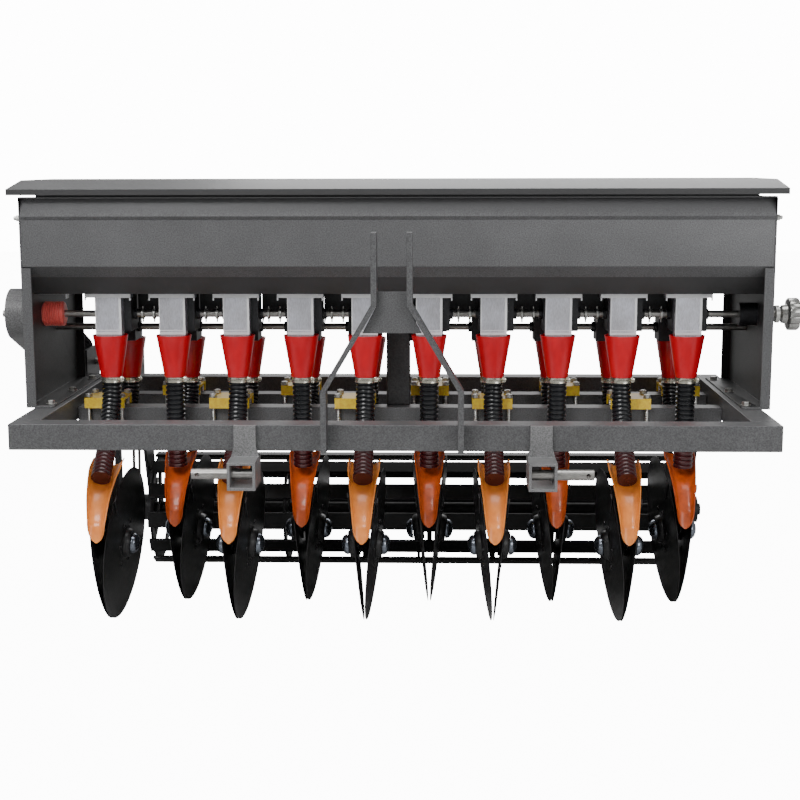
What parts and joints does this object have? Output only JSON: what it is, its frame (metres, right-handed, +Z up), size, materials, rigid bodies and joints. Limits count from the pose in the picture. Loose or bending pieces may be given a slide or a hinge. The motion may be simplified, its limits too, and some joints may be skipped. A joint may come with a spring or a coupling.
{
  "type": "mounted seed drill",
  "caption": "Tractor-mounted grain and fertiliser drill: full-width hopper, metering units, red outlet cups, ribbed hoses, double-disc openers with orange boots and a rear cage roller.",
  "frame": {"origin": "on the ground under the middle of the machine", "axes": "+Z up; X across the machine along its rows; -Y towards the tractor and its hitch; +Y towards the cage roller"},
  "size_m": [1.82, 0.995, 1.003],
  "materials": {
    "grey_paint": "hammered satin",
    "black_paint": "satin",
    "chute_steel": "brushed",
    "zinc": "zinc plated",
    "red_plastic": "gloss",
    "hose_rubber": "ribbed satin",
    "orange_paint": "satin",
    "yellow_paint": "gloss",
    "chain_steel": "oiled",
    "cover_paint": "satin",
    "disc_steel": "satin"
  },
  "bodies": {
    "frame": {"chain_cover": "cover_paint", "clamp_bolts": "zinc", "disc_scrapers": "black_paint", "drive_bearings": "black_paint", "drive_chains": "chain_steel", "drop_tubes": "black_paint", "end_plates": "grey_paint", "frame_bolts": "zinc", "front_beam": "grey_paint", "hitch_brackets": "grey_paint", "hitch_mast": "grey_paint", "hitch_pins": "zinc", "hopper_post": "black_paint", "hopper_shell": "grey_paint", "hose_clamps": "zinc", "lid_hinges": "black_paint", "metering_housings": "black_paint", "opener_boots": "orange_paint", "opener_castings": "black_paint", "opener_shanks": "black_paint", "opener_toolbars": "grey_paint", "outlet_chutes": "chute_steel", "rear_crossbar": "grey_paint", "roller_arms": "black_paint", "saddle_clamps": "yellow_paint", "seed_cups": "red_plastic", "seed_hoses": "hose_rubber", "shaft_bushings": "black_paint", "shaft_end_cap": "red_plastic", "side_rails": "grey_paint"},
    "lid": {"hopper_lid": "grey_paint"},
    "knob": {"adjuster_knob": "zinc"},
    "collar": {"thrust_collar": "zinc"},
    "front_meter": {"front_meter_shaft": "zinc"},
    "front_sprocket": {"front_sprocket": "zinc"},
    "rear_meter": {"rear_meter_shaft": "zinc"},
    "jackshaft": {"jackshaft": "zinc"},
    "roller": {"roller_axle": "black_paint", "roller_rings": "black_paint", "roller_bars": "black_paint"},
    "disc_01_left": {"disc_01_left": "disc_steel"},
    "disc_01_right": {"disc_01_right": "disc_steel"},
    "disc_02_left": {"disc_02_left": "disc_steel"},
    "disc_02_right": {"disc_02_right": "disc_steel"},
    "disc_03_left": {"disc_03_left": "disc_steel"},
    "disc_03_right": {"disc_03_right": "disc_steel"},
    "disc_04_left": {"disc_04_left": "disc_steel"},
    "disc_04_right": {"disc_04_right": "disc_steel"},
    "disc_05_left": {"disc_05_left": "disc_steel"},
    "disc_05_right": {"disc_05_right": "disc_steel"},
    "disc_06_left": {"disc_06_left": "disc_steel"},
    "disc_06_right": {"disc_06_right": "disc_steel"},
    "disc_07_left": {"disc_07_left": "disc_steel"},
    "disc_07_right": {"disc_07_right": "disc_steel"},
    "disc_08_left": {"disc_08_left": "disc_steel"},
    "disc_08_right": {"disc_08_right": "disc_steel"},
    "disc_09_left": {"disc_09_left": "disc_steel"},
    "disc_09_right": {"disc_09_right": "disc_steel"},
    "disc_10_left": {"disc_10_left": "disc_steel"},
    "disc_10_right": {"disc_10_right": "disc_steel"}
  },
  "joints": [
    {"name": "lid_hinge", "type": "hinge", "parent": "frame", "child": "lid", "pos_m": [0, 0.2695, 0.968], "axis": [-1, 0, 0], "range_deg": [0, 100]},
    {"name": "roller_spin", "type": "hinge", "parent": "frame", "child": "roller", "pos_m": [0, 0.3525, 0.145], "axis": [1, 0, 0], "continuous": true},
    {"name": "jackshaft_spin", "type": "hinge", "parent": "frame", "child": "jackshaft", "pos_m": [0, 0.3725, 0.53], "axis": [1, 0, 0], "continuous": true},
    {"name": "front_sprocket_spin", "type": "hinge", "parent": "frame", "child": "front_sprocket", "pos_m": [0, -0.0545, 0.698], "axis": [1, 0, 0], "continuous": true},
    {"name": "rear_meter_spin", "type": "hinge", "parent": "frame", "child": "rear_meter", "pos_m": [0, 0.0495, 0.657], "axis": [1, 0, 0], "continuous": true},
    {"name": "knob_turn", "type": "hinge", "parent": "frame", "child": "knob", "pos_m": [0.89, -0.0545, 0.698], "axis": [1, 0, 0], "range_deg": [0, 1440]},
    {"name": "rate_slide", "type": "slide", "parent": "frame", "child": "collar", "axis": [-1, 0, 0], "range_m": [0, 0.008]},
    {"name": "front_meter_spin", "type": "hinge", "parent": "collar", "child": "front_meter", "pos_m": [0, -0.0545, 0.698], "axis": [1, 0, 0], "continuous": true},
    {"name": "disc_01_left_spin", "type": "hinge", "parent": "frame", "child": "disc_01_left", "pos_m": [-0.6747, -0.1225, 0.17435], "axis": [-0.9936, -0.0566, -0.098], "continuous": true},
    {"name": "disc_01_right_spin", "type": "hinge", "parent": "frame", "child": "disc_01_right", "pos_m": [-0.6303, -0.1225, 0.17435], "axis": [0.9936, -0.0566, -0.098], "continuous": true},
    {"name": "disc_02_left_spin", "type": "hinge", "parent": "frame", "child": "disc_02_left", "pos_m": [-0.5297, 0.0275, 0.17435], "axis": [-0.9936, -0.0566, -0.098], "continuous": true},
    {"name": "disc_02_right_spin", "type": "hinge", "parent": "frame", "child": "disc_02_right", "pos_m": [-0.4853, 0.0275, 0.17435], "axis": [0.9936, -0.0566, -0.098], "continuous": true},
    {"name": "disc_03_left_spin", "type": "hinge", "parent": "frame", "child": "disc_03_left", "pos_m": [-0.3847, -0.1225, 0.17435], "axis": [-0.9936, -0.0566, -0.098], "continuous": true},
    {"name": "disc_03_right_spin", "type": "hinge", "parent": "frame", "child": "disc_03_right", "pos_m": [-0.3403, -0.1225, 0.17435], "axis": [0.9936, -0.0566, -0.098], "continuous": true},
    {"name": "disc_04_left_spin", "type": "hinge", "parent": "frame", "child": "disc_04_left", "pos_m": [-0.2397, 0.0275, 0.17435], "axis": [-0.9936, -0.0566, -0.098], "continuous": true},
    {"name": "disc_04_right_spin", "type": "hinge", "parent": "frame", "child": "disc_04_right", "pos_m": [-0.1953, 0.0275, 0.17435], "axis": [0.9936, -0.0566, -0.098], "continuous": true},
    {"name": "disc_05_left_spin", "type": "hinge", "parent": "frame", "child": "disc_05_left", "pos_m": [-0.0947, -0.1225, 0.17435], "axis": [-0.9936, -0.0566, -0.098], "continuous": true},
    {"name": "disc_05_right_spin", "type": "hinge", "parent": "frame", "child": "disc_05_right", "pos_m": [-0.0503, -0.1225, 0.17435], "axis": [0.9936, -0.0566, -0.098], "continuous": true},
    {"name": "disc_06_left_spin", "type": "hinge", "parent": "frame", "child": "disc_06_left", "pos_m": [0.0503, 0.0275, 0.17435], "axis": [-0.9936, -0.0566, -0.098], "continuous": true},
    {"name": "disc_06_right_spin", "type": "hinge", "parent": "frame", "child": "disc_06_right", "pos_m": [0.0947, 0.0275, 0.17435], "axis": [0.9936, -0.0566, -0.098], "continuous": true},
    {"name": "disc_07_left_spin", "type": "hinge", "parent": "frame", "child": "disc_07_left", "pos_m": [0.1953, -0.1225, 0.17435], "axis": [-0.9936, -0.0566, -0.098], "continuous": true},
    {"name": "disc_07_right_spin", "type": "hinge", "parent": "frame", "child": "disc_07_right", "pos_m": [0.2397, -0.1225, 0.17435], "axis": [0.9936, -0.0566, -0.098], "continuous": true},
    {"name": "disc_08_left_spin", "type": "hinge", "parent": "frame", "child": "disc_08_left", "pos_m": [0.3403, 0.0275, 0.17435], "axis": [-0.9936, -0.0566, -0.098], "continuous": true},
    {"name": "disc_08_right_spin", "type": "hinge", "parent": "frame", "child": "disc_08_right", "pos_m": [0.3847, 0.0275, 0.17435], "axis": [0.9936, -0.0566, -0.098], "continuous": true},
    {"name": "disc_09_left_spin", "type": "hinge", "parent": "frame", "child": "disc_09_left", "pos_m": [0.4853, -0.1225, 0.17435], "axis": [-0.9936, -0.0566, -0.098], "continuous": true},
    {"name": "disc_09_right_spin", "type": "hinge", "parent": "frame", "child": "disc_09_right", "pos_m": [0.5297, -0.1225, 0.17435], "axis": [0.9936, -0.0566, -0.098], "continuous": true},
    {"name": "disc_10_left_spin", "type": "hinge", "parent": "frame", "child": "disc_10_left", "pos_m": [0.6303, 0.0275, 0.17435], "axis": [-0.9936, -0.0566, -0.098], "continuous": true},
    {"name": "disc_10_right_spin", "type": "hinge", "parent": "frame", "child": "disc_10_right", "pos_m": [0.6747, 0.0275, 0.17435], "axis": [0.9936, -0.0566, -0.098], "continuous": true}
  ],
  "couplings": [
    {"joint": "jackshaft_spin", "follows": "roller_spin", "ratio": 1},
    {"joint": "front_sprocket_spin", "follows": "roller_spin", "ratio": 1},
    {"joint": "rear_meter_spin", "follows": "roller_spin", "ratio": 1},
    {"joint": "front_meter_spin", "follows": "roller_spin", "ratio": 1},
    {"joint": "knob_turn", "follows": "rate_slide", "rad_per_m": 3141.6}
  ]
}
